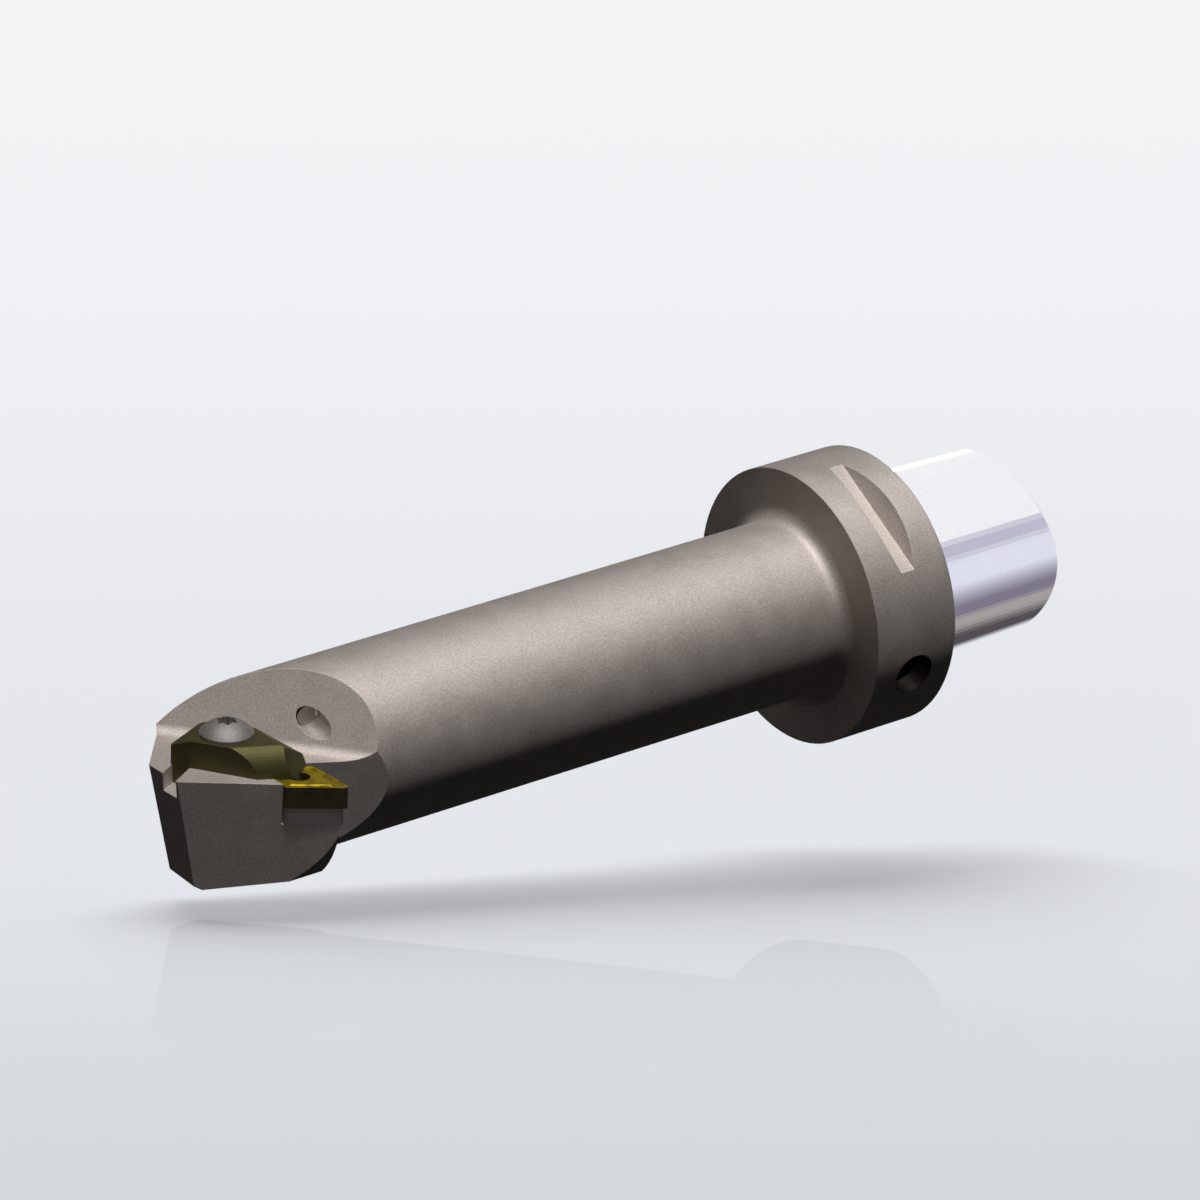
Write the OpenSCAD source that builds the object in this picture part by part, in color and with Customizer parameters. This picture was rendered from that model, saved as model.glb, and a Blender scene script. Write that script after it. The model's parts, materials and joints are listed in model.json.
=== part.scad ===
// Back boring bar with a polygon taper shank, a plain round bar and a clamped indexable insert.
// +X runs along the bar into the machine and X = 0 is the face that seats on the spindle.
// The cutting nose points to -Y and +Z is the rake side.

/* [Shank] */
// Diameter of the flange
flange_d = 63; // [60:0.5:80]
// Thickness of the flange
flange_l = 22; // [20:0.5:30]
// Chamfer on the rear edge of the flange
flange_chamfer = 0.5; // [0.2:0.1:1.5]
// Mean diameter of the polygon taper at the flange face
taper_d = 44; // [42:0.5:48]
// How far the lobes of the polygon rise above its mean circle
taper_lobe = 1.4; // [0.6:0.1:2]
// Length of the polygon taper
taper_l = 38; // [34:1:44]
// Length over which the taper loses one millimetre of diameter
taper_run = 20; // [12:1:40]
// Chamfer at the small end of the taper
taper_chamfer = 1.2; // [0.5:0.1:2]
// Bore of the taper's mouth
mouth_d = 28; // [24:0.5:30]
// Depth of the mouth bore
mouth_l = 11; // [8:0.5:14]
// Diameter of the groove that the machine's clamping segments grip
grip_d = 32; // [30.5:0.5:34]
// Length of the gripping groove
grip_l = 8; // [5:0.5:10]
// Nominal diameter of the draw-bolt thread
drawbolt_d = 20; // [16:1:22]
// Length of the draw-bolt thread
drawbolt_l = 22; // [16:1:26]

/* [Flange slots] */
// Angle of the first gripper slot, from +Y towards +Z
slot_angle = 132.5; // [90:0.5:180]
// Depth of a gripper slot below the flange's surface
slot_depth = 3.9; // [2:0.1:5]
// Width of a gripper slot at its floor
slot_floor = 3.6; // [2:0.1:6]
// Lean of a gripper slot's side walls
slot_flare = 30; // [15:1:40]
// Angle of the data carrier hole, from +Y towards +Z
carrier_angle = 206; // [180:0.5:260]
// Diameter of the data carrier hole
carrier_d = 10; // [8:0.5:12]
// Depth of the data carrier hole
carrier_depth = 4.6; // [3:0.1:6]

/* [Bar] */
// Diameter of the bar
bar_d = 40; // [38:0.5:42]
// Fillet between the bar and the flange
bar_fillet = 3; // [1:0.5:5]
// Distance from the flange's rear face to the cutting nose
nose_reach = 159; // [130:1:200]
// Distance from the bar's axis to the cutting nose
nose_f = 27; // [26:0.25:29]
// Diameter of the coolant channel in the bar
coolant_d = 4; // [3:0.25:5]

/* [Head] */
// Tilt of the insert seat about the bar's axis
radial_tilt = 9.8; // [6:0.1:12]
// Tilt of the insert seat along the bar's axis
axial_tilt = 2.4; // [0:0.1:4]
// Radius of the head below the insert, set off towards the nose
head_r = 24.5; // [24:0.25:26]
// Offset of that radius from the bar's axis
head_offset = 2; // [1:0.25:3]
// Distance from the nose to the front end of the head
tip_reach = 28.9; // [26:0.1:34]
// Angle of the front face to the bar's axis
front_angle = 36.2; // [32:0.5:40]
// How far the front face stands in front of the insert's flank
front_out = 0.4; // [0.1:0.1:1]
// Undercut of the end face
end_undercut = 5.6; // [0:0.1:10]
// Width of the end face
end_width = 9.8; // [6:0.1:14]
// Angle of the back bevel to the bar's axis
bevel_angle = 51; // [40:1:60]
// Undercut of the back bevel
bevel_undercut = 9.3; // [0:0.1:15]
// Distance from the bar's axis to the corner where the bevel under the front end starts
toe_start = 5.4; // [2:0.1:9]
// Direction in which that bevel faces, seen from above
toe_turn = 156; // [150:1:170]
// Undercut of that bevel
toe_undercut = 58; // [50:1:70]
// Clearance between the insert's rear edge and the face behind it
rear_clearance = 2.1; // [1:0.1:3]
// Angle of the chip gullet's wall to the bar's axis
gullet_angle = 27; // [20:0.5:35]
// Height of the chip floor above the insert
floor_rise = 0.3; // [0.1:0.05:0.8]
// Distance from the nose to the inner corner of the gullet, across the bar
gullet_depth = 15.2; // [13.5:0.1:17]
// Radius in the corner of the gullet
gullet_r = 1.5; // [0.5:0.1:3]
// Distance along the floor from the nose to the sloping wall behind it
wall_reach = 13.35; // [11:0.05:16]
// Angle of that wall's foot to a line across the bar
wall_turn = 38.5; // [25:0.1:45]
// Slope of the wall from the floor
wall_slope = 63.4; // [50:0.1:80]
// Fillet between floor and wall
wall_fillet = 3.5; // [2:0.1:6]

/* [Insert and shim] */
// Inscribed circle of the insert
insert_ic = 11.11; // [10.8:0.01:11.6]
// Thickness of the insert
insert_t = 4.76; // [3:0.01:6]
// Point angle of the insert
insert_point = 55; // [50:1:60]
// Nose radius of the insert
insert_r = 0.8; // [0.4:0.1:1.2]
// Diameter of the insert's hole
insert_hole_d = 4.4; // [4:0.1:4.8]
// Width of the flat land along the cutting edges
land_w = 0.3; // [0.15:0.05:0.6]
// Width of the chip groove behind the land
groove_w = 1.6; // [1:0.1:2]
// Depth of the chip groove
groove_depth = 0.3; // [0.1:0.05:0.5]
// Angle between the bar's axis and the insert's rear edge
rear_edge_angle = 91.5; // [90:0.5:96]
// Thickness of the shim
shim_t = 4; // [3:0.1:5]
// How far the shim lies inside the insert's outline
shim_inset = 0.25; // [0.15:0.05:0.6]
// Nose radius of the shim
shim_r = 1.2; // [0.8:0.1:2]
// Gap between the insert and the two walls of its pocket
pocket_gap = 0.05; // [0.02:0.01:0.2]
// Nominal diameter of the shim screw's thread
shim_screw_d = 4; // [3.5:0.25:4.5]
// Diameter of the shim screw's countersunk head
shim_head_d = 6.4; // [5.6:0.1:7]
// Length of the shim screw below the shim
shim_screw_l = 7; // [5:0.5:9]

/* [Clamp] */
// Distance from the nose to the clamp screw, along the bar
clamp_x = 14.6; // [13.5:0.1:15.5]
// Distance from the nose to the clamp screw, across the bar
clamp_y = 24; // [23:0.1:25]
// Angle of the clamp to the bar's axis
clamp_angle = 56.6; // [54:0.1:60]
// Width of the clamp
clamp_w = 11.9; // [11.4:0.1:12.6]
// How far the clamp's middle lies from its screw, towards the front face
clamp_off = 0.25; // [0:0.05:0.5]
// Height of the clamp's top above its seat
clamp_h = 6.4; // [6:0.1:7.5]
// Distance from the screw to the clamp's tail
tail_l = 10.2; // [9.8:0.1:11]
// How far the tail's end face leans forward across the clamp
tail_skew = 1.8; // [0:0.1:2]
// Height of the tail's top edge above the clamp's seat
tail_h = 4.7; // [4.2:0.1:5.8]
// Slope of the facet between that edge and the clamp's top
tail_slope = 19; // [12:1:30]
// Distance from the screw to the clamp's tip
tip_l = 16.5; // [16:0.1:17.5]
// Radius of the rounded nose of the clamp
nose_round = 7.4; // [6.5:0.1:8]
// Depth of the clamp's heel in its slot
heel_depth = 3.6; // [2:0.1:5]
// Width of the heel slot in the head
heel_slot_w = 4.1; // [3.4:0.1:5]
// Distance from the clamp screw to the middle of the heel slot
heel_back = 7.65; // [7:0.05:8.2]
// Clearance round the heel
heel_gap = 0.3; // [0.2:0.05:0.5]
// Diameter of the pin that hooks into the insert's hole
hook_d = 2.4; // [2:0.1:3]
// Length of that pin
hook_l = 2.2; // [1.5:0.1:3]

/* [Clamp screw and spring] */
// Nominal diameter of the clamp screw's thread
screw_d = 6; // [5:0.5:7]
// Length of the clamp screw below the clamp
screw_l = 15; // [12:0.5:18]
// Diameter of the domed head
dome_d = 11.5; // [10:0.1:12]
// Height of the dome
dome_h = 2.8; // [2.2:0.1:4]
// Height of the rim under the dome
rim_h = 0.7; // [0.3:0.1:1.5]
// Diameter across the points of the six-lobed socket
socket_d = 4.5; // [3.5:0.1:5]
// Depth of the socket
socket_depth = 2.2; // [1.5:0.1:2.6]
// Mean diameter of the lifting spring
spring_d = 8; // [7.5:0.1:9]
// Wire of the lifting spring
spring_wire = 0.8; // [0.5:0.05:1]
// Depth of the spring's seat in the head
spring_seat = 6; // [4:0.5:8]

/* [Coolant outlet] */
// Diameter of the coolant outlet
outlet_d = 5.3; // [4.5:0.1:6.5]
// Distance from the nose to the outlet, along the bar
outlet_x = 4.85; // [4:0.05:7]
// Distance from the nose to the outlet, across the bar
outlet_y = 19.5; // [18:0.05:23]
// Depth of the outlet's end face below the wall, along its own axis
outlet_depth = 4; // [3.8:0.1:6]
// Width of the ring slot round that end face
ring_w = 0.45; // [0.3:0.05:0.8]
// Depth of that ring slot
ring_depth = 0.9; // [0.5:0.1:1.5]
// Distance behind the nose at which the jet aims
outlet_aim = 2; // [0:0.1:4]
// Height above the nose at which the jet aims
outlet_over = 3.5; // [0:0.1:5]

/* [Hidden] */
$fn = 96;
eps = 0.01;
reach = 90;
fit_gap = 0.05;
hook_clear = 0.1;
arc_steps = 8;
bore_chamfer = 1;
seat_relief = 0.6;
rear_step = 0.3;
taper_root = 3;
bar_r = bar_d / 2;
toe_drop = sqrt(bar_r * bar_r - toe_start * toe_start);
toe_rise = (nose_f - toe_start) * sin(radial_tilt) + toe_drop * cos(radial_tilt);
flange_r = flange_d / 2;
pocket_depth = insert_t + shim_t;
front_edge_angle = rear_edge_angle + insert_point;
insert_axis = rear_edge_angle + insert_point / 2;
point_to_centre = (insert_ic / 2 - insert_r) / sin(insert_point / 2);
insert_x = -insert_r + point_to_centre * cos(insert_axis);
insert_y = insert_r + point_to_centre * sin(insert_axis);
clamp_hole_d = screw_d + 0.6;
spring_seat_d = spring_d + spring_wire + 0.6;
clamp_recess = 1.8;
pad_d = 7;
pad_back = 1.6;
dome_r = (pow(dome_d / 2, 2) + pow(dome_h, 2)) / (2 * dome_h);
steel = [0.55, 0.53, 0.51];
clamp_steel = [0.27, 0.27, 0.17];
coating = [0.72, 0.62, 0.12];

// Unit vector along v
function unit(v) = v / norm(v);

// An angle brought between -180 and 180 degrees
function short_turn(a) = a > 180 ? a - 360 : a < -180 ? a + 360 : a;

// Points along an arc about c, from angle a0 to a1
function arc(c, r, a0, a1, n) = [for (i = [0:n]) c + r * [cos(a0 + (a1 - a0) * i / n), sin(a0 + (a1 - a0) * i / n)]];

// The arc that rounds the corner b between a and c
function corner(a, b, c, r) =
    let (u = unit(a - b), v = unit(c - b), half = acos(u * v) / 2)
    let (mid = b + unit(u + v) * r / sin(half), reach_in = r / tan(half))
    let (s = b + u * reach_in - mid, e = b + v * reach_in - mid)
    let (a0 = atan2(s[1], s[0]), turn = short_turn(atan2(e[1], e[0]) - a0))
    arc(mid, r, a0, a0 + turn, arc_steps);

// An outline given as [x, y, corner radius]
function outline(p) = [for (i = [0:len(p) - 1])
    let (a = p[(i + len(p) - 1) % len(p)], b = p[i], c = p[(i + 1) % len(p)])
    each b[2] == 0 ? [[b[0], b[1]]] : corner([a[0], a[1]], [b[0], b[1]], [c[0], c[1]], b[2])];

// Rhombus round a circle of diameter ic, its acute points along X, all corners rounded
function rhombus(ic, r) =
    let (long = ic / 2 / sin(insert_point / 2), wide = ic / 2 / cos(insert_point / 2))
    outline([[long, 0, r], [0, wide, r], [-long, 0, r], [0, -wide, r]]);

// Three-lobed polygon curve of the taper, one lobe towards -Y
function lobes(d) = [for (i = [0:119]) let (a = 3 * i)
    [d / 2 * cos(a) - 2 * taper_lobe * cos(2 * a) + taper_lobe * cos(4 * a),
     d / 2 * sin(a) + 2 * taper_lobe * sin(2 * a) + taper_lobe * sin(4 * a)]];

// Everything beyond a plane through p whose outward normal has this azimuth and elevation
module beyond(p, azimuth, elevation) {
    translate(p) rotate([0, -elevation, azimuth]) translate([0, -reach, -reach]) cube([reach, 2 * reach, 2 * reach]);
}

// A straight round bore between two points
module bore(a, b, d) {
    v = b - a;
    translate(a) rotate([0, acos(v[2] / norm(v)), atan2(v[1], v[0])]) cylinder(d = d, h = norm(v));
}

// Places children with their origin at the cutting nose, level with the head's faces
module at_nose() {
    translate([-nose_reach, -nose_f, 0]) rotate([radial_tilt, 0, 0]) children();
}

// Places children on the insert seat, Z square to the insert
module on_seat() {
    at_nose() rotate([0, axial_tilt, 0]) children();
}

// Places children at the insert's centre, X along its long diagonal
module at_insert() {
    on_seat() translate([insert_x, insert_y, 0]) rotate(insert_axis) children();
}

// Places children at the clamp screw, X towards the clamp's tip
module at_clamp() {
    on_seat() translate([-clamp_x, clamp_y, 0]) rotate(-clamp_angle) children();
}

// Tapered three-lobed shank, lofted from inside the flange to its chamfered end
module taper() {
    straight = taper_l - taper_chamfer;
    end_d = taper_d - straight / taper_run;
    stations = [[-taper_root, taper_d + taper_root / taper_run], [straight, end_d], [taper_l, end_d - 2 * taper_chamfer]];
    curve = lobes(taper_d);
    n = len(curve);
    last = len(stations) - 1;
    points = [for (s = stations, p = curve) [s[0], p[0] * s[1] / taper_d, p[1] * s[1] / taper_d]];
    sides = [for (k = [0:last - 1], i = [0:n - 1]) let (j = (i + 1) % n, a = k * n, b = a + n)
        each [[a + i, b + j, a + j], [a + i, b + i, b + j]]];
    ends = [[for (i = [0:n - 1]) i], [for (i = [n - 1:-1:0]) last * n + i]];
    polyhedron(points, concat(sides, ends));
}

// Flange, fillet and bar, turned in one piece
module turned() {
    tip_x = nose_reach + tip_reach + 2;
    profile = concat(
        [[0, 0], [flange_r - flange_chamfer, 0], [flange_r, flange_chamfer], [flange_r, flange_l]],
        arc([bar_r + bar_fillet, flange_l + bar_fillet], bar_fillet, 270, 180, arc_steps),
        [[bar_r, tip_x], [0, tip_x]]);
    rotate([0, -90, 0]) rotate_extrude() polygon(profile);
}

// The part of the head that carries the insert out beyond the bar
module head_block() {
    intersection() {
        translate([-nose_reach - tip_reach - 2, -head_offset, 0]) rotate([0, 90, 0])
            cylinder(r = head_r, h = tip_reach + 2 + head_r);
        translate([-nose_reach - reach, -reach, -bar_r]) cube([2 * reach, reach, reach]);
        at_nose() beyond([rear_step - rear_clearance, 0, 0], rear_edge_angle + 90, 0);
    }
}

// Space over the chip floor, closed by the fillet and the sloping wall behind it
module chip_space() {
    foot = wall_reach - wall_fillet * tan(wall_slope / 2);
    end = wall_reach + reach / tan(wall_slope);
    section = concat(
        [[-reach, 0]],
        arc([foot, wall_fillet], wall_fillet, 270, 270 + wall_slope, arc_steps),
        [[end, reach], [-reach, reach]]);
    on_seat() translate([0, 0, floor_rise]) rotate(wall_turn) rotate([90, 0, 0])
        linear_extrude(height = 2 * reach, center = true) polygon(section);
}

// Chip gullet behind the insert, cut right through
module gullet() {
    rear = [-rear_clearance, 0];
    up = [cos(rear_edge_angle), sin(rear_edge_angle)];
    inner = rear + up * gullet_depth / up[1];
    low = rear - up * reach;
    far = inner + 2 * reach * [cos(gullet_angle), -sin(gullet_angle)];
    at_nose() linear_extrude(height = 2 * reach, center = true)
        polygon(outline([[low[0], low[1], 0], [far[0], far[1] - reach, 0], [far[0], far[1], 0], [inner[0], inner[1], gullet_r]]));
}

// Pocket of the insert and its shim, open to the nose side
module pocket() {
    grow = insert_ic + 2 * pocket_gap;
    long = grow / 2 / sin(insert_point / 2);
    wide = grow / 2 / cos(insert_point / 2);
    at_insert() translate([0, 0, -pocket_depth]) linear_extrude(height = pocket_depth + reach)
        polygon([[-reach, 0], [0, -wide], [long, 0], [0, wide]]);
    at_insert() translate([long - seat_relief, 0, -pocket_depth]) cylinder(r = seat_relief, h = reach);
}

// Bore, gripping groove and thread inside the shank, and the channel that runs on from them
module shank_bore() {
    grip_end = taper_l - mouth_l - grip_l;
    cone = (grip_d - mouth_d) / 2;
    profile = [
        [0, taper_l + eps], [mouth_d / 2 + bore_chamfer, taper_l + eps], [mouth_d / 2, taper_l - bore_chamfer],
        [mouth_d / 2, taper_l - mouth_l], [grip_d / 2, taper_l - mouth_l - cone], [grip_d / 2, grip_end],
        [drawbolt_d / 2 + bore_chamfer, grip_end], [drawbolt_d / 2, grip_end - bore_chamfer],
        [drawbolt_d / 2, grip_end - drawbolt_l], [0, grip_end - drawbolt_l - drawbolt_d / 4]];
    rotate([0, 90, 0]) rotate_extrude() polygon(profile);
}

// Straight slot across the flange, with leaning side walls
module gripper_slot(angle) {
    floor_r = flange_r - slot_depth;
    top = slot_floor / 2 + 2 * slot_depth * tan(slot_flare);
    rotate([angle, 0, 0]) translate([-flange_l / 2, 0, 0]) linear_extrude(height = flange_d, center = true)
        polygon([[-slot_floor / 2, floor_r], [slot_floor / 2, floor_r],
                 [top, floor_r + 2 * slot_depth], [-top, floor_r + 2 * slot_depth]]);
}

// Slot for the clamp's heel, open at the end face
module heel_slot() {
    at_clamp() translate([-heel_back - heel_slot_w / 2, -reach, -heel_depth - heel_gap])
        cube([heel_slot_w, reach + clamp_w / 2 - clamp_off + heel_gap, reach]);
}

// Where the sloping wall meets the outlet's axis, from the nose
function outlet_mouth() =
    let (h = [cos(wall_turn), sin(wall_turn)] * [outlet_x, outlet_y])
    [outlet_x, outlet_y, floor_rise + (h - wall_reach) * tan(wall_slope) + outlet_x * sin(axial_tilt)];

// Coolant outlet in the sloping wall and the long channel that feeds it
module coolant_way() {
    mouth = outlet_mouth();
    back = unit(mouth - [outlet_aim, 0, outlet_over]);
    disc = mouth + back * outlet_depth;
    inner = disc + back * ring_depth;
    meet = disc + [outlet_d / 2, 0, 0];
    y = -nose_f + meet[1] * cos(radial_tilt) - meet[2] * sin(radial_tilt);
    z = meet[1] * sin(radial_tilt) + meet[2] * cos(radial_tilt);
    at_nose() difference() {
        bore(inner, inner - back * reach / 2, outlet_d);
        bore(disc, inner + back, outlet_d - 2 * ring_w);
    }
    bore([taper_l - mouth_l - grip_l - drawbolt_l, 0, 0], [meet[0] - nose_reach, y, z], coolant_d);
}

// Bar, flange, taper and head, milled from one blank
module bar_body() {
    color(steel) difference() {
        union() {
            turned();
            taper();
            head_block();
        }
        at_nose() {
            beyond(front_out * [-sin(front_angle), -cos(front_angle), 0], 270 - front_angle, 0);
            beyond([-tip_reach, 0, 0], 180, -end_undercut);
            beyond([-tip_reach, tip_reach * tan(front_angle) + end_width, 0], 90 + bevel_angle, -bevel_undercut);
        }
        translate([-nose_reach - tip_reach + toe_rise * tan(end_undercut), -toe_start, -toe_drop])
            beyond([0, 0, 0], toe_turn, -toe_undercut);
        chip_space();
        gullet();
        pocket();
        heel_slot();
        coolant_way();
        shank_bore();
        gripper_slot(slot_angle);
        gripper_slot(slot_angle + 180);
        rotate([carrier_angle, 0, 0]) translate([-flange_l / 2, flange_r - carrier_depth, 0]) rotate([-90, 0, 0])
            cylinder(d = carrier_d, h = flange_r);
        at_clamp() {
            translate([0, 0, -spring_seat]) cylinder(d = spring_seat_d, h = reach);
            translate([0, 0, -screw_l - 2]) cylinder(d = screw_d + 2 * fit_gap, h = reach);
        }
        at_insert() translate([0, 0, -pocket_depth - shim_screw_l - 1])
            cylinder(d = shim_screw_d + 2 * fit_gap, h = reach);
    }
}

// Countersunk seat or head of the shim screw, its top level with z = 0
module countersink(d) {
    translate([0, 0, -(d - shim_screw_d) / 2]) cylinder(d1 = shim_screw_d, d2 = d, h = (d - shim_screw_d) / 2);
}

// Carbide seat under the insert
module shim() {
    size = insert_ic - 2 * shim_inset;
    color([0.42, 0.41, 0.4]) at_insert() translate([0, 0, -pocket_depth]) difference() {
        linear_extrude(height = shim_t) polygon(rhombus(size, shim_r));
        translate([0, 0, -eps]) cylinder(d = shim_screw_d + 0.4, h = shim_t + 1);
        translate([0, 0, shim_t + eps]) countersink(shim_head_d + 2 * fit_gap);
    }
}

// Countersunk screw that holds the shim
module shim_screw() {
    color(steel) at_insert() translate([0, 0, -insert_t]) difference() {
        union() {
            countersink(shim_head_d);
            translate([0, 0, -shim_t - shim_screw_l]) cylinder(d = shim_screw_d, h = shim_t + shim_screw_l - eps);
        }
        translate([0, 0, -1.6]) linear_extrude(height = 3) socket_star(shim_screw_d * 0.7);
    }
}

// Six-lobed socket outline
module socket_star(d) {
    polygon([for (a = [0:6:354]) (d / 2) * (0.87 + 0.13 * cos(6 * a)) * [cos(a), sin(a)]]);
}

// Chip groove of one side of the insert, cut down from z = 0
module chip_groove() {
    outer = insert_ic - 2 * land_w;
    inner = outer - 2 * groove_w;
    difference() {
        translate([0, 0, -groove_depth]) linear_extrude(height = groove_depth + eps, scale = outer / (outer - groove_w))
            polygon(rhombus(outer - groove_w, insert_r));
        translate([0, 0, -groove_depth - eps]) linear_extrude(height = groove_depth + 3 * eps, scale = 0.9)
            polygon(rhombus(inner + 1, insert_r));
    }
}

// Coated carbide insert with a hole and a chip groove on both sides
module insert() {
    color(coating) at_insert() difference() {
        translate([0, 0, -insert_t]) linear_extrude(height = insert_t) polygon(rhombus(insert_ic, insert_r));
        translate([0, 0, -insert_t - eps]) cylinder(d = insert_hole_d, h = insert_t + 1);
        chip_groove();
        translate([0, 0, -insert_t]) mirror([0, 0, 1]) chip_groove();
    }
}

// Outline of the clamp from above, narrow towards the insert
module clamp_plan() {
    near = -clamp_w / 2 - clamp_off;
    far = clamp_w / 2 - clamp_off;
    polygon(outline([
        [-tail_l, near, 0.6], [tip_l * 0.58, near, 0.5], [tip_l, near + 3.8, 0.8],
        [tip_l, far - 0.7, 1.2], [tip_l * 0.5, far, 3], [tail_skew - tail_l, far, 0.6]]));
}

// What is cut from the clamp to round its nose towards the cutting edge
module nose_cut() {
    centre = [3.05, 0.2];
    low = -asin(centre[1] / nose_round);
    high = asin((clamp_h + 1 - centre[1]) / nose_round);
    rotate(-57) rotate([90, 0, 0]) linear_extrude(height = reach, center = true)
        polygon(concat([[reach, 0]], arc(centre, nose_round, low, 88, 2 * arc_steps), [[centre[0], reach], [reach, reach]]));
}

// Top clamp with a heel at its tail, a pad on the insert and a pin that hooks into its hole
module clamp() {
    away = [insert_x + clamp_x, insert_y - clamp_y];
    hole = [away[0] * cos(clamp_angle) - away[1] * sin(clamp_angle),
            away[0] * sin(clamp_angle) + away[1] * cos(clamp_angle)];
    hook = hole - [(insert_hole_d - hook_d) / 2 - hook_clear, 0];
    color(clamp_steel) at_clamp() difference() {
        union() {
            translate([0, 0, floor_rise]) linear_extrude(height = clamp_h - floor_rise) clamp_plan();
            intersection() {
                linear_extrude(height = clamp_h / 2) clamp_plan();
                translate([hole[0] - pad_back, hole[1], 0]) cylinder(d = pad_d, h = clamp_h);
            }
            translate([0, 0, -heel_depth]) intersection() {
                linear_extrude(height = heel_depth + 1) clamp_plan();
                translate([-heel_back - heel_slot_w / 2 + heel_gap, -clamp_w, 0])
                    cube([heel_slot_w - 2 * heel_gap, 2 * clamp_w, heel_depth + 1]);
            }
            translate([hook[0], hook[1], -hook_l]) cylinder(d = hook_d, h = hook_l + 1);
        }
        nose_cut();
        beyond([tip_l - 0.7, clamp_w / 2 - 1.5, 1], -2, 26);
        beyond([4, clamp_w / 2 - clamp_off, clamp_h], 53, 59);
        beyond([-tail_l, 0, tail_h], 180, 90 - tail_slope);
        translate([0, 0, -1]) cylinder(d = clamp_hole_d, h = clamp_h + 2);
        translate([0, 0, -1]) cylinder(d = spring_seat_d, h = 1 + clamp_recess);
    }
}

// Clamp screw with a domed head and a six-lobed socket
module clamp_screw() {
    color([0.6, 0.6, 0.6]) at_clamp() difference() {
        union() {
            translate([0, 0, clamp_h]) cylinder(d = dome_d, h = rim_h);
            translate([0, 0, clamp_h + rim_h]) intersection() {
                translate([0, 0, dome_h - dome_r]) sphere(r = dome_r);
                cylinder(d = dome_d, h = dome_h + 1);
            }
            translate([0, 0, -screw_l]) cylinder(d = screw_d, h = screw_l + clamp_h + 0.5);
        }
        translate([0, 0, clamp_h + rim_h + dome_h - socket_depth]) linear_extrude(height = dome_h) socket_star(socket_d);
    }
}

// Coil spring that lifts the clamp off the insert
module clamp_spring() {
    turns = 5;
    low = -spring_seat + spring_wire / 2 + fit_gap;
    high = clamp_recess - spring_wire / 2 - fit_gap;
    rings = turns * 16;
    sides = 6;
    points = [for (i = [0:rings], j = [0:sides - 1])
        let (a = 360 * turns * i / rings, b = 360 * j / sides, r = spring_d / 2 + spring_wire / 2 * cos(b))
        [r * cos(a), r * sin(a), low + (high - low) * i / rings + spring_wire / 2 * sin(b)]];
    skin = [for (i = [0:rings - 1], j = [0:sides - 1]) let (k = (j + 1) % sides)
        [i * sides + j, (i + 1) * sides + j, (i + 1) * sides + k, i * sides + k]];
    ends = [[for (j = [0:sides - 1]) j], [for (j = [sides - 1:-1:0]) rings * sides + j]];
    color([0.5, 0.5, 0.5]) at_clamp() polyhedron(points, concat(skin, ends));
}

bar_body();
shim();
shim_screw();
insert();
clamp();
clamp_screw();
clamp_spring();
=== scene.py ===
import json
import math

import bpy
from mathutils import Matrix, Vector


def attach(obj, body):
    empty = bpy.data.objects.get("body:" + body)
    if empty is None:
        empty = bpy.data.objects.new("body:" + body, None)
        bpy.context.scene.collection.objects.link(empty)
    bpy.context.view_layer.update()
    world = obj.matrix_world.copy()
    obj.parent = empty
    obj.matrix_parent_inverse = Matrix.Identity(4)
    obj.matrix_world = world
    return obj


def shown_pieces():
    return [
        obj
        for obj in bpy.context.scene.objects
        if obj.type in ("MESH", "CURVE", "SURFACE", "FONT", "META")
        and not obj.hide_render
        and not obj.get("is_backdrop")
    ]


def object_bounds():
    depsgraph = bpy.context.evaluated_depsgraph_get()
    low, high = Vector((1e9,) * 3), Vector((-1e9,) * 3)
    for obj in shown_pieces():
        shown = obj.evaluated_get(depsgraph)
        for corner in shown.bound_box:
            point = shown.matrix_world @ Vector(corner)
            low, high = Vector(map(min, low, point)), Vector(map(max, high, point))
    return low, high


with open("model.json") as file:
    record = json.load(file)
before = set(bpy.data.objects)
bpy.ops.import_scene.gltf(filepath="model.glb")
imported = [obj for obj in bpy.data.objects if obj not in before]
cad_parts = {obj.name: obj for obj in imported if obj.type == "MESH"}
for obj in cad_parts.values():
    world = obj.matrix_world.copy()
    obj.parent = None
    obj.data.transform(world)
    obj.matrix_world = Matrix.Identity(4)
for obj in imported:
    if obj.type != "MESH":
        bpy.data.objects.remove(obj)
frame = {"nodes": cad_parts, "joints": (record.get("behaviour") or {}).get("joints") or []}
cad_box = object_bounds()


# Camera
# The photo is taken with a long lens from the front left and a little above,
# with the bar turned about its own axis until the insert faces the viewer.
camera_spot = Vector((-0.8841, -1.1654, 0.4129))
camera_right = Vector((0.7995, -0.5918, -0.1022)).normalized()
camera_up = Vector((0.2408, 0.1599, 0.9573))
camera_back = camera_right.cross(camera_up).normalized()
camera_up = camera_back.cross(camera_right)
lens_mm, film_mm = 204.44, 36

lens = bpy.data.cameras.new("photo_lens")
lens.lens, lens.sensor_width = lens_mm, film_mm
camera = bpy.data.objects.new("photo_camera", lens)
turn = Matrix((camera_right, camera_up, camera_back)).transposed().to_4x4()
camera.matrix_world = Matrix.Translation(camera_spot) @ turn
bpy.context.scene.collection.objects.link(camera)
bpy.context.scene.camera = camera
bpy.context.scene.view_settings.view_transform = "Standard"


# Bar body
# One blank of tempered tool steel, turned, milled and drilled, then nickel
# plated to a satin warm grey. Only the taper is ground bright after that.
mm = 0.001


def paint(code):
    """A hex sRGB colour as the linear values that Blender takes."""
    shares = [int(code[i : i + 2], 16) / 255 for i in (0, 2, 4)]
    return [s / 12.92 if s <= 0.04045 else ((s + 0.055) / 1.055) ** 2.4 for s in shares] + [1]


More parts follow.
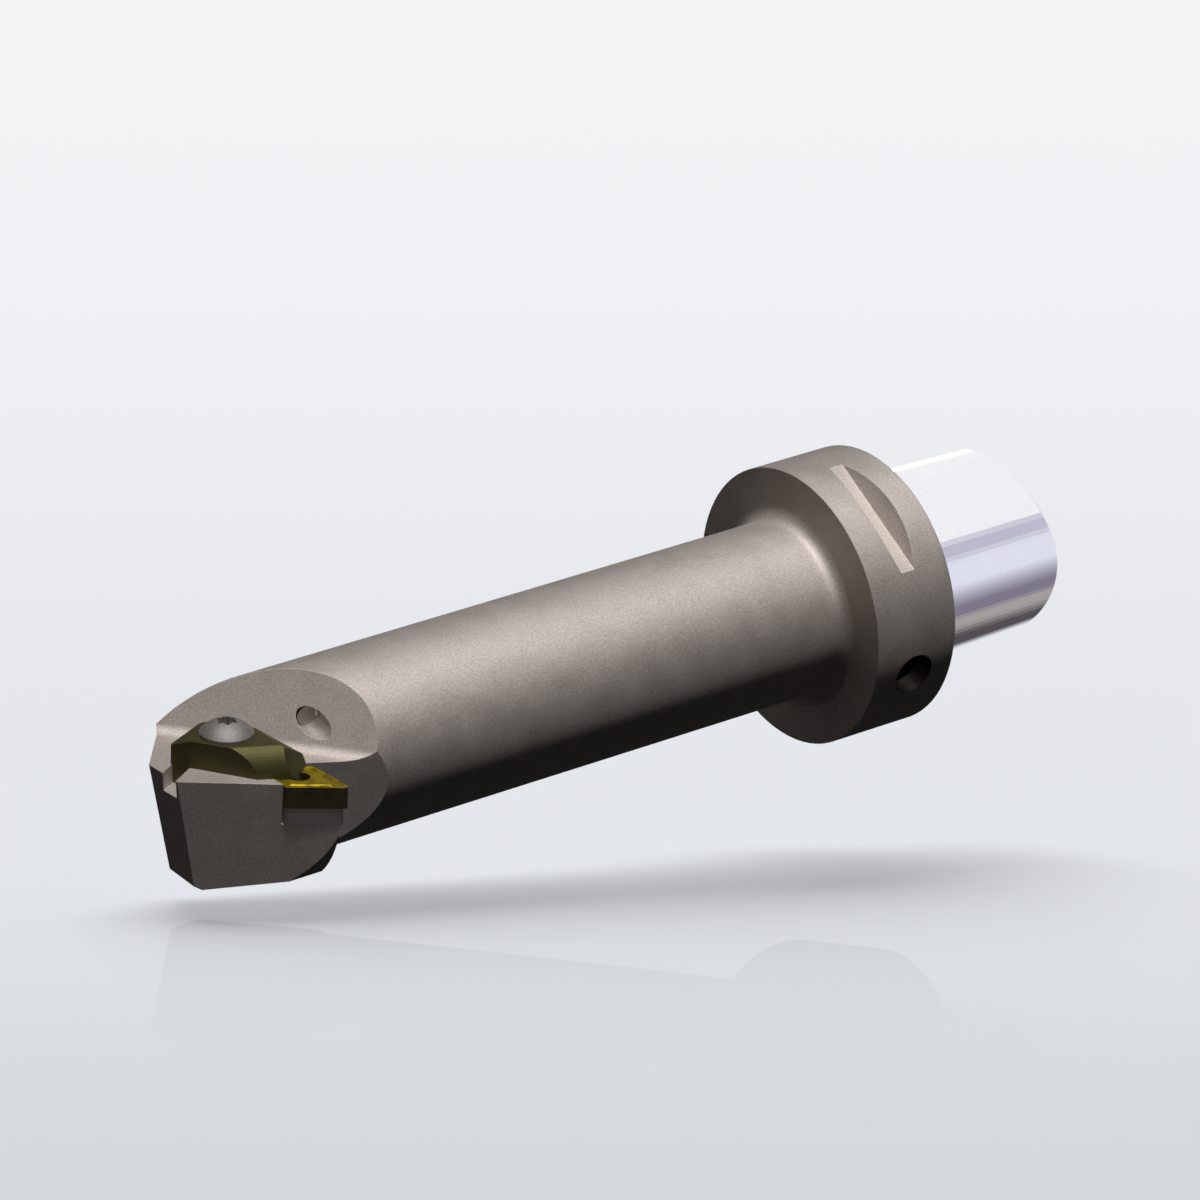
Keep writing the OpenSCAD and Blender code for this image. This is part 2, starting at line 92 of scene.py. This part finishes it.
def add(tree, kind, inputs=None, stops=None, **settings):
    """One node: its own settings, its sockets' values or links, and a colour ramp's stops."""
    made = tree.nodes.new(kind)
    for name, value in settings.items():
        setattr(made, name, value)
    for name, value in (inputs or {}).items():
        if isinstance(value, bpy.types.NodeSocket):
            tree.links.new(value, made.inputs[name])
        else:
            made.inputs[name].default_value = value
    if stops:
        ramp = made.color_ramp.elements
        while len(ramp) < len(stops):
            ramp.new(1)
        for element, (place, colour) in zip(ramp, stops):
            element.position, element.color = place, colour
    return made


def machined(name, dark, light, metallic, roughness, grain, cut, edge=0.25 * mm):
    """
    A machined finish with fine grain, a cloudy tone, cutter lines and broken edges.
    grain is the size and depth of the grain, and cut is the pitch and depth of the cutter lines.
    """
    grain_size, grain_depth = grain
    cut_pitch, cut_depth = cut
    cloud_size, cloud_share, wear_swing = 7 * mm, 0.3, 0.04
    tone_low, tone_high = 0.45, 0.85
    made = bpy.data.materials.new(name)
    made.use_nodes = True
    tree = made.node_tree
    steel = tree.nodes["Principled BSDF"]
    place = add(tree, "ShaderNodeTexCoord").outputs["Object"]
    fine = add(
        tree, "ShaderNodeTexNoise", {"Vector": place, "Scale": 1 / grain_size, "Detail": 2.0}
    ).outputs["Fac"]
    cloud = add(
        tree, "ShaderNodeTexNoise", {"Vector": place, "Scale": 1 / cloud_size, "Detail": 3.0}
    ).outputs["Fac"]
    # cutter lines lie across the axis on a cylinder and round it on a face, and
    # a wave texture repeats once in tau / 20 of its scale
    split = add(tree, "ShaderNodeSeparateXYZ", {"Vector": place}).outputs
    across = add(tree, "ShaderNodeCombineXYZ", {"Y": split["Y"], "Z": split["Z"]}).outputs["Vector"]
    radius = add(tree, "ShaderNodeVectorMath", {0: across}, operation="LENGTH").outputs["Value"]
    along = add(tree, "ShaderNodeMath", {0: split["X"], 1: radius}, operation="ADD").outputs[0]
    track = add(tree, "ShaderNodeCombineXYZ", {"X": along}).outputs["Vector"]
    wave_scale = math.tau / 20 / cut_pitch
    lines = add(
        tree, "ShaderNodeTexWave", {"Vector": track, "Scale": wave_scale, "Distortion": 0.4}
    ).outputs["Fac"]
    clouded = {0: cloud, 1: cloud_share, 2: fine}
    tone = add(tree, "ShaderNodeMath", clouded, operation="MULTIPLY_ADD").outputs[0]
    tone_ends = {"Value": tone, "From Min": tone_low, "From Max": tone_high}
    share = add(tree, "ShaderNodeMapRange", tone_ends).outputs[0]
    tints = [(0, paint(dark)), (1, paint(light))]
    colour = add(tree, "ShaderNodeValToRGB", {"Fac": share}, tints).outputs["Color"]
    smooth, rough = roughness * (1 - wear_swing), roughness * (1 + wear_swing)
    wear = add(tree, "ShaderNodeMapRange", {"Value": cloud, "To Min": smooth, "To Max": rough}).outputs[0]
    normal = add(tree, "ShaderNodeBevel", {"Radius": edge}, samples=4).outputs["Normal"]
    for height, depth in ((lines, cut_depth), (fine, grain_depth)):
        relief = {"Height": height, "Distance": depth, "Normal": normal}
        normal = add(tree, "ShaderNodeBump", relief).outputs["Normal"]
    for socket, value in (("Base Color", colour), ("Roughness", wear), ("Normal", normal)):
        tree.links.new(value, steel.inputs[socket])
    steel.inputs["Metallic"].default_value = metallic
    return made


# satin nickel over turned steel: 0.35 mm grain, 0.25 mm feed lines
turned_steel = machined(
    "turned_steel", "bbb2ac", "d8cfc9", 1.0, 0.71, grain=(0.35 * mm, 0.004 * mm), cut=(0.25 * mm, 0.0008 * mm)
)
# the same plating over milled faces: 0.35 mm grain, 0.6 mm cutter tracks
milled_steel = machined(
    "milled_steel", "b8afa9", "d4cbc5", 1.0, 0.71, grain=(0.35 * mm, 0.004 * mm), cut=(0.6 * mm, 0.0006 * mm)
)
# ground and polished taper, a sharp mirror: 0.12 mm grinding lines, faint 0.5 mm grain
ground_steel = machined(
    "ground_steel", "ebebef", "f3f3f7", 1.0, 0.0, grain=(0.5 * mm, 0.0002 * mm), cut=(0.12 * mm, 0.0001 * mm)
)
# bored mouth and threaded hole, oily and dull: 0.4 mm grain and feed lines
bored_steel = machined(
    "bored_steel", "8d8783", "a49e9a", 1.0, 0.55, grain=(0.4 * mm, 0.003 * mm), cut=(0.4 * mm, 0.003 * mm)
)
# the data carrier's hole and the outlet's ring slot, painted near black as the shade inside them: 0.3 mm
# grain, 0.4 mm feed lines
painted_shade_steel = machined(
    "painted_shade_steel", "25221f", "35312d", 1.0, 0.6, grain=(0.3 * mm, 0.003 * mm), cut=(0.4 * mm, 0.003 * mm)
)

# where each finish starts, and where the painted shade goes: along the axis, across it, and round the data
# carrier's hole
thread_foot = -11 * mm
head_end = -120 * mm
taper_end = cad_box[1].x - 0.2 * mm
bar_r, bar_skin = 20 * mm, 0.2 * mm
mouth_r = 16.2 * mm
carrier_x, carrier_angle = -11 * mm, math.radians(206)
carrier_r, carrier_top = 5.1 * mm, 31 * mm
# the disc in the coolant outlet, the way that it faces, and the slot round it, which is painted dark as shade
outlet_disc = Vector((-153.575, -4.946, 10.001)) * mm
outlet_way = Vector((-0.1437, -0.9506, -0.275)).normalized()
slot_inner, slot_outer = 2.1 * mm, 2.7 * mm
slot_top, slot_foot = 0.05 * mm, 1 * mm


def dress(node, *finishes):
    """Gives a CAD node its materials in place of the plain ones."""
    node.data.materials.clear()
    for one in finishes:
        node.data.materials.append(one)


def finish_at(spot):
    """The bar's finish, or the painted shade in its holes, on a face whose middle is at spot."""
    r = math.hypot(spot.y, spot.z)
    aside = spot.z * math.cos(carrier_angle) - spot.y * math.sin(carrier_angle)
    outward = spot.y * math.cos(carrier_angle) + spot.z * math.sin(carrier_angle)
    # painted shade inside the data carrier's hole
    if math.hypot(spot.x - carrier_x, aside) < carrier_r and bar_r < outward and r < carrier_top:
        return painted_shade_steel
    sunk = (outlet_disc - spot).dot(outlet_way)
    off_centre = (spot - outlet_disc + outlet_way * sunk).length
    # painted shade in the outlet's ring slot round the disc
    if slot_top < sunk < slot_foot and slot_inner < off_centre < slot_outer:
        return painted_shade_steel
    if thread_foot < spot.x < taper_end and r < mouth_r:
        return bored_steel
    if spot.x > 0:
        return ground_steel
    return milled_steel if spot.x < head_end and abs(r - bar_r) > bar_skin else turned_steel


bar = frame["nodes"]["bar_body"]
finishes = [turned_steel, milled_steel, ground_steel, bored_steel, painted_shade_steel]
dress(bar, *finishes)
for face in bar.data.polygons:
    face.material_index = finishes.index(finish_at(face.center))


# Draw-bolt thread
# The M20 x 2 right-hand thread that a draw bolt pulls on, cut into the hole
# behind the mouth. It is the bar's own steel: one ridge wound round the wall.
def wound(name, material, sizes):
    """A ridge of triangular section wound round X, made by Geometry Nodes and kept as a plain mesh."""
    tree = bpy.data.node_groups.new(name, "GeometryNodeTree")
    tree.is_modifier = True
    for key, value in sizes.items():
        size = tree.interface.new_socket(key, in_out="INPUT", socket_type="NodeSocketFloat")
        size.default_value = value
    tree.interface.new_socket("Geometry", in_out="OUTPUT", socket_type="NodeSocketGeometry")
    given = add(tree, "NodeGroupInput").outputs
    lengths = {0: given["Length"], 1: given["Pitch"]}
    turns = add(tree, "ShaderNodeMath", lengths, operation="DIVIDE").outputs[0]
    winding = {
        "Resolution": 48,
        "Rotations": turns,
        "Start Radius": given["Radius"],
        "End Radius": given["Radius"],
        "Height": given["Length"],
        "Reverse": True,
    }
    helix = add(tree, "GeometryNodeCurveSpiral", winding).outputs["Curve"]
    section = {"Resolution": 3, "Radius": given["Ridge"]}
    ridge = add(tree, "GeometryNodeCurvePrimitiveCircle", section).outputs["Curve"]
    sweep = {"Curve": helix, "Profile Curve": ridge, "Fill Caps": True}
    swept = add(tree, "GeometryNodeCurveToMesh", sweep).outputs["Mesh"]
    foot = add(tree, "ShaderNodeCombineXYZ", {"X": given["Start"]}).outputs["Vector"]
    laying = {"Geometry": swept, "Translation": foot, "Rotation": (0, math.pi / 2, 0)}
    laid = add(tree, "GeometryNodeTransform", laying).outputs["Geometry"]
    whole = add(tree, "GeometryNodeRealizeInstances", {"Geometry": laid}).outputs["Geometry"]
    finish = {"Geometry": whole, "Material": material}
    finished = add(tree, "GeometryNodeSetMaterial", finish).outputs["Geometry"]
    add(tree, "NodeGroupOutput", {"Geometry": finished})
    piece = bpy.data.objects.new(name, bpy.data.meshes.new(name + "_seed"))
    bpy.context.scene.collection.objects.link(piece)
    winder = piece.modifiers.new("wound", "NODES")
    winder.node_group = tree
    for item in tree.interface.items_tree:
        if item.in_out == "INPUT":
            winder[item.identifier] = sizes[item.name]
    seen = piece.evaluated_get(bpy.context.evaluated_depsgraph_get())
    mesh = bpy.data.meshes.new_from_object(seen)
    piece.modifiers.clear()
    piece.data = mesh
    return piece


draw_bolt_r, draw_bolt_pitch = 10 * mm, 2 * mm
draw_bolt_start, draw_bolt_l = -2 * mm, 20 * mm
# the section's circumscribed radius, and how far its middle stands off the wall
ridge_r, ridge_off = 0.75 * mm, 0.3 * mm
thread_sizes = {
    "Pitch": draw_bolt_pitch,
    "Length": draw_bolt_l,
    "Radius": draw_bolt_r - ridge_off,
    "Ridge": ridge_r,
    "Start": draw_bolt_start,
}
thread = wound("drawbolt_thread", bored_steel, thread_sizes)
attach(thread, "bar")


# Shim and its screw
# A ground plate of cemented carbide under the insert, dull grey, held by a
# countersunk steel screw.
shim = frame["nodes"]["shim"]
# ground carbide: 0.2 mm grain, 0.15 mm wheel lines
ground_carbide = machined(
    "ground_carbide",
    "a39b98",
    "b8b0ad",
    1.0,
    0.65,
    grain=(0.2 * mm, 0.002 * mm),
    cut=(0.15 * mm, 0.0008 * mm),
    edge=0.1 * mm,
)
dress(shim, ground_carbide)

shim_screw = frame["nodes"]["shim_screw"]
# tumbled screw steel: 0.3 mm grain, 0.3 mm turning lines
screw_steel = machined(
    "screw_steel",
    "8f8a86",
    "a39e9a",
    1.0,
    0.72,
    grain=(0.3 * mm, 0.003 * mm),
    cut=(0.3 * mm, 0.001 * mm),
    edge=0.15 * mm,
)
dress(shim_screw, screw_steel)


# Insert
# A double-sided rhombic insert, pressed and sintered in carbide with its
# chipbreaker, then coated gold by vapour deposition. It sits in the pocket.
def coated(name, deep, gold, streak, metallic, roughness):
    """Coating over pressed carbide, with clouds of a deeper tone and of a browner one."""
    grain_size, grain_depth, cloud_size, edge = 0.15 * mm, 0.002 * mm, 2.5 * mm, 0.12 * mm
    made = bpy.data.materials.new(name)
    made.use_nodes = True
    tree = made.node_tree
    surface = tree.nodes["Principled BSDF"]
    place = add(tree, "ShaderNodeTexCoord").outputs["Object"]
    fine = add(
        tree, "ShaderNodeTexNoise", {"Vector": place, "Scale": 1 / grain_size, "Detail": 2.0}
    ).outputs["Fac"]
    cloud = add(
        tree, "ShaderNodeTexNoise", {"Vector": place, "Scale": 1 / cloud_size, "Detail": 4.0}
    ).outputs["Fac"]
    tints = [(0.3, paint(streak)), (0.5, paint(gold)), (0.75, paint(deep))]
    tint = add(tree, "ShaderNodeValToRGB", {"Fac": cloud}, tints).outputs["Color"]
    round_edge = add(tree, "ShaderNodeBevel", {"Radius": edge}, samples=4).outputs["Normal"]
    relief = {"Height": fine, "Distance": grain_depth, "Normal": round_edge}
    normal = add(tree, "ShaderNodeBump", relief).outputs["Normal"]
    for socket, value in (("Base Color", tint), ("Normal", normal)):
        tree.links.new(value, surface.inputs[socket])
    surface.inputs["Metallic"].default_value = metallic
    surface.inputs["Roughness"].default_value = roughness
    return made


# vapour-deposited gold coating on pressed carbide: 0.15 mm grain, 2.5 mm clouds
gold_coating = coated("gold_coating", "a08c1c", "948012", "5f4a10", 0.9, 0.6)
# the same coating over ground flanks, where it turns out dark
flank_coating = coated("flank_coating", "6e6446", "635a42", "554b38", 0.9, 0.6)
insert = frame["nodes"]["insert"]
dress(insert, gold_coating, flank_coating)
seat_axis = Vector(frame["joints"][0]["axis"]).normalized()
flank_lean = 0.4
for face in insert.data.polygons:
    face.material_index = 0 if abs(face.normal.dot(seat_axis)) > flank_lean else 1


# Top clamp
# The clamp is milled from steel and blackened, with an olive cast. Its heel
# stands in the head, its hook goes into the insert's hole.
clamp = frame["nodes"]["clamp"]
# blackened steel: 0.25 mm grain, 0.5 mm cutter tracks
blackened = machined(
    "blackened_steel",
    "514d30",
    "615c3b",
    0.9,
    0.65,
    grain=(0.25 * mm, 0.003 * mm),
    cut=(0.5 * mm, 0.0006 * mm),
    edge=0.2 * mm,
)
dress(clamp, blackened)


# Clamp screw and spring
# The screw's domed head bears on the clamp, and a wire spring in the head of
# the bar lifts the clamp when the screw is slackened.
clamp_screw = frame["nodes"]["clamp_screw"]
dress(clamp_screw, screw_steel)

spring = frame["nodes"]["clamp_spring"]
# drawn spring wire: 0.2 mm grain, faint 0.2 mm drawing lines
spring_steel = machined(
    "spring_steel",
    "9d9b98",
    "b1afac",
    1.0,
    0.45,
    grain=(0.2 * mm, 0.001 * mm),
    cut=(0.2 * mm, 0.0005 * mm),
    edge=0.05 * mm,
)
dress(spring, spring_steel)


# Floor
# Satin paper that runs from under the bar to a wall behind it, seen almost
# edge-on. It gets lighter further back, and shows faintly what stands over it.
floor_tilt = math.radians(5)
floor_gap = 3.3 * mm
# in metres: the flat stretch before and behind the bar, half the width, the bend and the wall
floor_near, floor_far, floor_half = 1.0, 1.2, 1.4
bend_r, wall_h = 0.6, 1.6
bend_steps = 16

floor_up = (camera_up * math.cos(floor_tilt) + camera_back * math.sin(floor_tilt)).normalized()
floor_back = floor_up.cross(camera_right)
part_corners = [v.co for one in frame["nodes"].values() for v in one.data.vertices]
lowest = min(corner.dot(floor_up) for corner in part_corners)
middle = (cad_box[0] + cad_box[1]) / 2
start = middle + floor_up * (lowest - middle.dot(floor_up) - floor_gap)

profile = [(-floor_near, 0), (floor_far, 0)]
for i in range(1, bend_steps + 1):
    a = math.pi / 2 * i / bend_steps
    profile.append((floor_far + bend_r * math.sin(a), bend_r * (1 - math.cos(a))))
profile.append((floor_far + bend_r, wall_h))
corners, quads = [], []
for back, up in profile:
    spot = start + floor_back * back + floor_up * up
    corners += [spot - camera_right * floor_half, spot + camera_right * floor_half]
for i in range(len(profile) - 1):
    quads.append((2 * i, 2 * i + 1, 2 * i + 3, 2 * i + 2))
sheet = bpy.data.meshes.new("paper")
sheet.from_pydata(corners, [], quads)
sheet.shade_smooth()
paper = bpy.data.objects.new("paper", sheet)
bpy.context.scene.collection.objects.link(paper)
paper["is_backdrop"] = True

# satin paper: places are metres from under the bar, back and up the wall. Near
# the bar half of its tone comes from the lamp above, so that the shadow shows
tones = [(-0.4, "d4d7dc"), (0.05, "e3e6eb"), (1.2, "ebecf0"), (1.8, "f3f4f6")]
lit_shares = [(0.17, 0.5), (0.31, 0.33), (0.47, 0.17), (0.67, 0)]
mirror_shares = [(-0.28, 0), (-0.07, 0.1), (0.17, 0.1), (0.47, 0)]
paper_l = floor_near + floor_far + bend_r + wall_h
dim = 0.018


def paper_stops(places, colour_of):
    """A colour ramp's stops from places along the paper."""
    return [((at + floor_near) / paper_l, colour_of(value)) for at, value in places]


def grey(share):
    """A share as the colour that a ramp holds it in."""
    return (share, share, share, 1)


satin_paper = bpy.data.materials.new("satin_paper")
satin_paper.use_nodes = True
tree = satin_paper.node_tree
tree.nodes.clear()
spot = add(tree, "ShaderNodeTexCoord").outputs["Object"]
off = add(tree, "ShaderNodeVectorMath", {0: spot, 1: start}, operation="SUBTRACT").outputs[0]
way_up = floor_back + floor_up
run = add(tree, "ShaderNodeVectorMath", {0: off, 1: way_up}, operation="DOT_PRODUCT").outputs["Value"]
run_ends = {"Value": run, "From Min": -floor_near, "From Max": paper_l - floor_near}
place = add(tree, "ShaderNodeMapRange", run_ends).outputs[0]
tone = add(tree, "ShaderNodeValToRGB", {"Fac": place}, paper_stops(tones, paint)).outputs["Color"]
lit = add(tree, "ShaderNodeValToRGB", {"Fac": place}, paper_stops(lit_shares, grey)).outputs["Color"]
own = add(tree, "ShaderNodeMath", {0: 1.0, 1: lit}, operation="SUBTRACT").outputs[0]
glow = add(tree, "ShaderNodeEmission", {"Color": tone, "Strength": own}).outputs[0]
matt_tone = add(tree, "ShaderNodeVectorMath", {0: tone, 1: lit}, operation="MULTIPLY").outputs[0]
matt = add(tree, "ShaderNodeBsdfDiffuse", {"Color": matt_tone}).outputs[0]
both = add(tree, "ShaderNodeAddShader", {0: glow, 1: matt}).outputs[0]
mirror = add(tree, "ShaderNodeBsdfGlossy", {"Color": grey(1), "Roughness": 0.0}).outputs[0]
fade = add(tree, "ShaderNodeValToRGB", {"Fac": place}, paper_stops(mirror_shares, grey)).outputs["Color"]
satin = add(tree, "ShaderNodeMixShader", {0: fade, 1: both, 2: mirror}).outputs[0]
# the paper throws next to no light on the part
ray = add(tree, "ShaderNodeLightPath").outputs
unseen = add(tree, "ShaderNodeEmission", {"Color": grey(1), "Strength": dim}).outputs[0]
shown = add(tree, "ShaderNodeMixShader", {0: ray["Is Camera Ray"], 1: unseen, 2: satin}).outputs[0]
# from behind, and in the polished taper, the room is seen through the paper
behind = add(tree, "ShaderNodeNewGeometry").outputs["Backfacing"]
through = add(tree, "ShaderNodeMath", {0: behind, 1: ray["Is Singular Ray"]}, operation="MAXIMUM").outputs[0]
clear = add(tree, "ShaderNodeBsdfTransparent").outputs[0]
sided = add(tree, "ShaderNodeMixShader", {0: through, 1: shown, 2: clear}).outputs[0]
add(tree, "ShaderNodeOutputMaterial", {"Surface": sided})
sheet.materials.append(satin_paper)
paper.visible_shadow = False


# Light
# A soft lamp above and before the bar lights it, with faint ones behind it and
# at its head. A lamp above the paper, for the paper only, gives the shadow.
def group_of(name, members):
    """A collection for light linking."""
    group = bpy.data.collections.new(name)
    for one in members:
        group.objects.link(one)
    return group


def lamp(name, direction, strength, spread, lit, shaded_by=()):
    """A distant lamp, spread in degrees, for the pieces in lit. All pieces shade it, or only some."""
    light = bpy.data.lights.new(name, "SUN")
    light.energy, light.angle = strength, math.radians(spread)
    holder = bpy.data.objects.new(name, light)
    holder.rotation_euler = direction.to_track_quat("Z", "Y").to_euler()
    bpy.context.scene.collection.objects.link(holder)
    holder.light_linking.receiver_collection = group_of(name + "_lights", lit)
    if shaded_by:
        holder.light_linking.blocker_collection = group_of(name + "_shaded_by", shaded_by)
    return holder


# most of the key lamp reaches every face that it faces, because the photo has
# hardly any shadow of one piece on another: only the paper stops that share
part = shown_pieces()
key_side = Vector((-0.012, -0.378, 0.925))
key_strength, key_spread, shadow_share = 3.2, 8, 0.3
lamp("key", key_side, key_strength * shadow_share, key_spread, part)
lamp("key_wide", key_side, key_strength * (1 - shadow_share), key_spread, part, shaded_by=[paper])
behind_side = Vector((0.35, 0.93, 0.1))
behind_strength, behind_spread = 1.2, 40
lamp("fill_behind", behind_side, behind_strength, behind_spread, part)
end_side = Vector((-0.9, 0.35, 0.25))
end_strength, end_spread = 0.08, 60
lamp("fill_end", end_side, end_strength, end_spread, part)
# leans back over the paper, at the strength that shows the paper's own tone
above_lean, above_spread = 1.2, 45
above = floor_up + floor_back * above_lean
over_paper = lamp("above", above, math.pi * above.length, above_spread, [paper])
# the paper doesn't mirror its own lamp
over_paper.visible_glossy = False


# Room
# Pale behind the bar, and dim to rough steel. The polished taper mirrors what
# stands round the camera's line of view: light boxes above, a dark foot below.
room = bpy.context.scene.world or bpy.data.worlds.new("room")
bpy.context.scene.world = room
room.use_nodes = True
tree = room.node_tree
tree.nodes.clear()
side = add(tree, "ShaderNodeTexCoord").outputs["Generated"]
across, upward, ahead = (
    add(tree, "ShaderNodeVectorMath", {0: side, 1: way}, operation="DOT_PRODUCT").outputs["Value"]
    for way in (camera_right, camera_up, -camera_back)
)
aside = add(tree, "ShaderNodeMath", {0: across}, operation="ABSOLUTE").outputs[0]
round_view = add(tree, "ShaderNodeMath", {0: aside, 1: upward}, operation="ARCTAN2").outputs[0]
share = add(tree, "ShaderNodeMath", {0: round_view, 1: math.pi}, operation="DIVIDE").outputs[0]
# each thing's first and last angle, in degrees from straight above round to
# straight below, and its tone. Between two things one tone runs into the next
overhead_box = (0, 42, "ffffff")
space_between = (46, 54, "c8c6d6")
side_box = (64, 94, "ecedf8")
unlit_side = (125, 131, "868090")
table_edge = (134, 138, "aca8a4")
dark_foot = (143, 180, "565256")
things = [overhead_box, space_between, side_box, unlit_side, table_edge, dark_foot]
box_stops = [(angle / 180, paint(code)) for first, last, code in things for angle in (first, last)]
studio = add(tree, "ShaderNodeValToRGB", {"Fac": share}, box_stops).outputs["Color"]
boxed = add(tree, "ShaderNodeBackground", {"Color": studio, "Strength": 1.0}).outputs[0]
ambient = add(tree, "ShaderNodeBackground", {"Color": grey(1), "Strength": dim}).outputs[0]
pale = add(tree, "ShaderNodeBackground", {"Color": paint("e9eaee"), "Strength": 1.0}).outputs[0]
# straight ahead is the plain wall behind the bar: its edge, and where it is full
wall_edge, wall_full = 0.9, 0.97
wall_ends = {"Value": ahead, "From Min": wall_edge, "From Max": wall_full}
wall = add(tree, "ShaderNodeMapRange", wall_ends).outputs[0]
mirrored = add(tree, "ShaderNodeMixShader", {0: wall, 1: boxed, 2: pale}).outputs[0]
ray = add(tree, "ShaderNodeLightPath").outputs
unseen = add(tree, "ShaderNodeMixShader", {0: ray["Is Singular Ray"], 1: ambient, 2: mirrored}).outputs[0]
seen = add(tree, "ShaderNodeMixShader", {0: ray["Is Camera Ray"], 1: unseen, 2: pale}).outputs[0]
add(tree, "ShaderNodeOutputWorld", {"Surface": seen})
